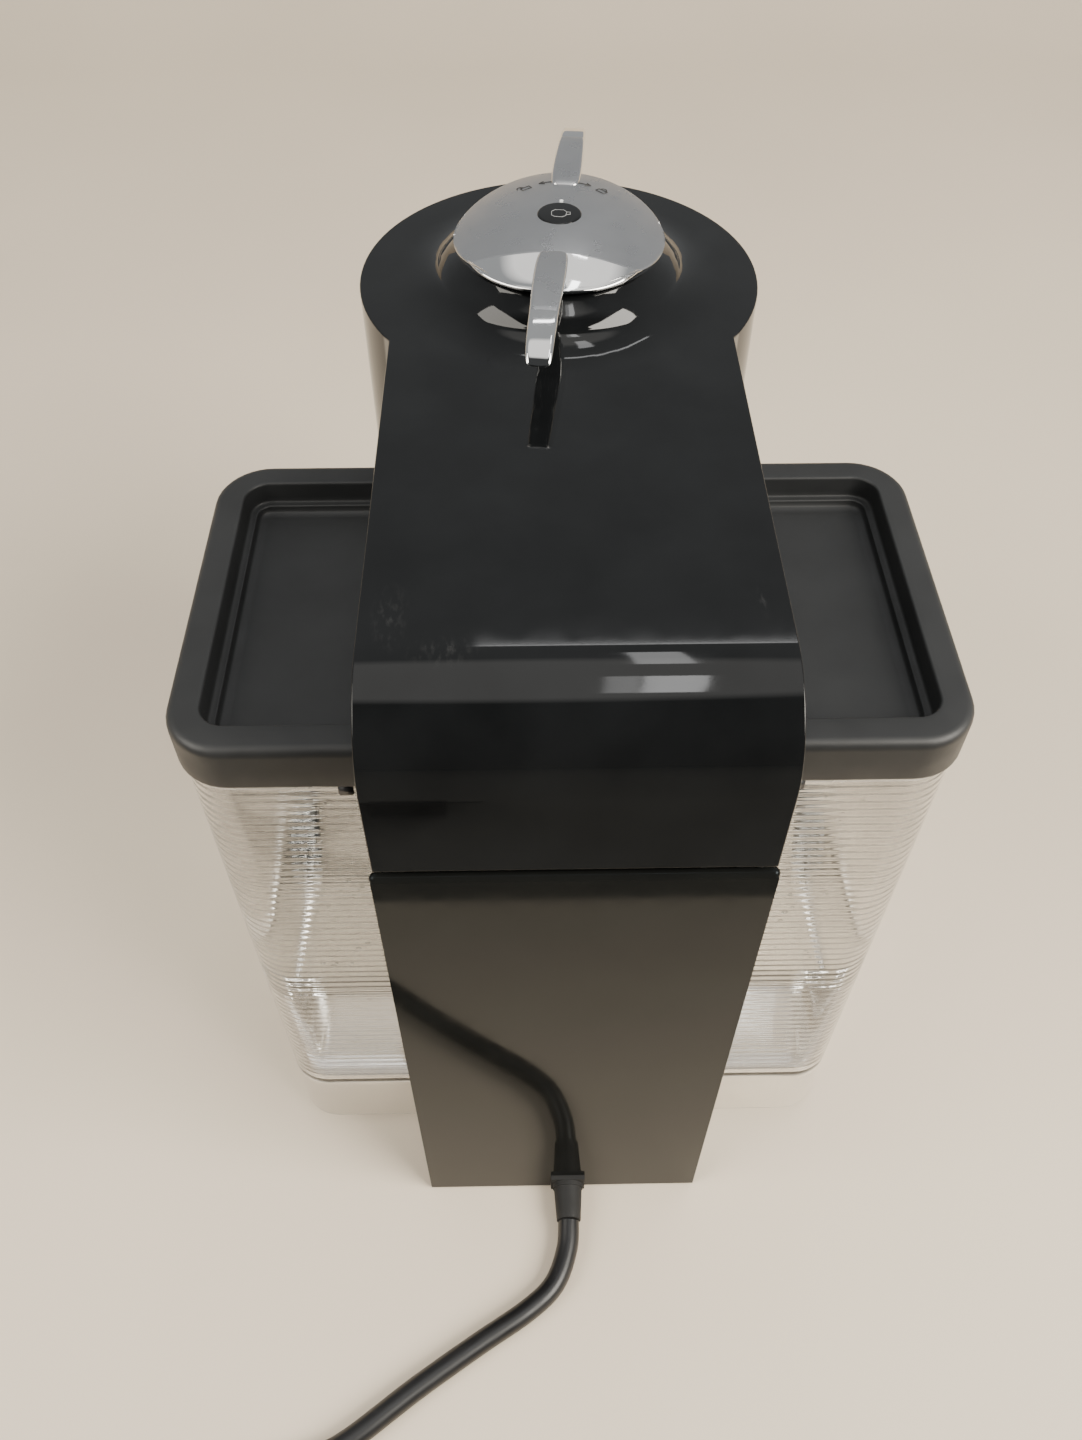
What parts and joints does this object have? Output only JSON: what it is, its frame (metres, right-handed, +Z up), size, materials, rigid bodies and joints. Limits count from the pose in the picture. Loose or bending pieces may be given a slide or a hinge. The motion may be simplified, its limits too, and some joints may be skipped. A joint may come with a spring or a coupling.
{
  "type": "capsule coffee machine",
  "caption": "Countertop capsule coffee machine with a swinging head, a turning lever, a rear arch over a clear sliding water tank, a capsule container and a cup support.",
  "frame": {"origin": "on the table, at the centre of the machine's footprint without its cord", "axes": "+Z up, -Y out of the front where the cup stands, +Y to the rear panel and cord, +X to the right seen from the front"},
  "size_m": [0.301, 0.511, 0.3038],
  "materials": {
    "gloss_black": "polished, mirror gloss",
    "gloss_graphite": "polished",
    "matte_black": "fine spark-eroded texture",
    "soft_black": "satin moulded",
    "clear_tank": "clear, ribbed inside",
    "chrome_lever": "satin top, bright edges",
    "steel": "satin",
    "zinc_grey": "cast, satin",
    "aluminium_cast": "as cast",
    "rubber_black": "matte",
    "silicone": "translucent matte",
    "board_green": "solder mask",
    "nylon_grey": "moulded",
    "nylon_white": "moulded",
    "brass_pump": "machined",
    "cord_black": "smooth PVC"
  },
  "bodies": {
    "base": {"base_rail": "soft_black", "rubber_feet": "rubber_black", "base_screws": "steel", "rear_column": "soft_black", "rear_panel": "gloss_graphite", "hinge_bracket": "zinc_grey", "hinge_pins": "steel", "power_board": "board_green", "cord_gland": "rubber_black", "power_cord": "cord_black", "cord_coil": "cord_black", "power_plug": "cord_black", "inlet_port": "nylon_grey", "front_column": "soft_black", "head_base": "soft_black", "collector_bowl": "nylon_grey", "coffee_spout": "chrome_lever", "bearing_block": "zinc_grey", "motor_bracket": "zinc_grey", "drive_motor": "steel", "drive_belt": "rubber_black", "pump": "brass_pump", "pump_mounts": "rubber_black", "heating_block": "aluminium_cast", "flow_meter": "nylon_white", "water_hoses": "silicone"},
    "head": {"head_shell": "gloss_black", "head_liner": "soft_black", "hinge_arms": "zinc_grey", "liner_screws": "steel", "injector": "steel", "bell_bearing": "steel", "head_hose": "silicone"},
    "bell": {"clamp_bell": "nylon_grey", "bell_gasket": "silicone"},
    "lever": {"lever_handle": "chrome_lever", "lever_spindle": "zinc_grey", "lock_plate": "zinc_grey", "button_switch": "board_green", "button_spring": "steel"},
    "button": {"button_cap": "gloss_black"},
    "rotor": {"capsule_holder": "nylon_grey", "rotor_shaft": "steel", "rotor_pulley": "nylon_grey"},
    "motor_rotor": {"motor_shaft": "steel", "motor_pulley": "nylon_grey"},
    "tank": {"water_tank": "clear_tank", "valve_body": "nylon_grey", "valve_seal": "rubber_black", "valve_filter": "nylon_white", "valve_spring": "steel"},
    "valve": {"valve_plunger": "nylon_white"},
    "lid": {"tank_lid": "matte_black"},
    "container": {"capsule_container": "soft_black"},
    "cup_support": {"cup_support": "soft_black"},
    "tray": {"drip_tray": "matte_black"},
    "grid": {"drip_grid": "steel"}
  },
  "joints": [
    {"name": "head_hinge", "type": "hinge", "parent": "base", "child": "head", "pos_m": [0, 0.138, 0.24], "axis": [-1, 0, 0], "range_deg": [0, 42]},
    {"name": "lever_turn", "type": "hinge", "parent": "head", "child": "lever", "pos_m": [0, -0.0323, 0.3], "axis": [0, 0, -1], "range_deg": [-5, 35]},
    {"name": "button_press", "type": "slide", "parent": "lever", "child": "button", "axis": [0, 0, -1], "range_m": [0, 0.0012], "stiffness_N_per_m": 400, "deforming": ["button_spring"]},
    {"name": "rotor_spin", "type": "hinge", "parent": "base", "child": "rotor", "pos_m": [0, -0.0323, 0.22], "axis": [0, 0, 1], "continuous": true},
    {"name": "motor_spin", "type": "hinge", "parent": "base", "child": "motor_rotor", "pos_m": [0.024, -0.012, 0.2], "axis": [0, 0, 1], "continuous": true},
    {"name": "bell_spin", "type": "hinge", "parent": "head", "child": "bell", "pos_m": [0, -0.0323, 0.248], "axis": [0, 0, 1], "continuous": true},
    {"name": "tank_slide", "type": "slide", "parent": "base", "child": "tank", "axis": [1, 0, 0], "range_m": [0, 0.16]},
    {"name": "valve_press", "type": "slide", "parent": "tank", "child": "valve", "axis": [0, 0, 1], "range_m": [0, 0.003], "stiffness_N_per_m": 300, "deforming": ["valve_spring"]},
    {"name": "lid_slide", "type": "slide", "parent": "tank", "child": "lid", "axis": [1, 0, 0], "range_m": [0, 0.105]},
    {"name": "container_slide", "type": "slide", "parent": "base", "child": "container", "axis": [0, -1, 0], "range_m": [0, 0.13]},
    {"name": "cup_height", "type": "slide", "parent": "container", "child": "cup_support", "axis": [0, 0, 1], "range_m": [0, 0.075]},
    {"name": "tray_lift", "type": "slide", "parent": "cup_support", "child": "tray", "axis": [0, 0, 1], "range_m": [0, 0.03]},
    {"name": "grid_lift", "type": "slide", "parent": "tray", "child": "grid", "axis": [0, 0, 1], "range_m": [0, 0.02]}
  ],
  "couplings": [
    {"joint": "motor_spin", "follows": "rotor_spin", "ratio": 2},
    {"joint": "bell_spin", "follows": "rotor_spin", "ratio": 1}
  ]
}
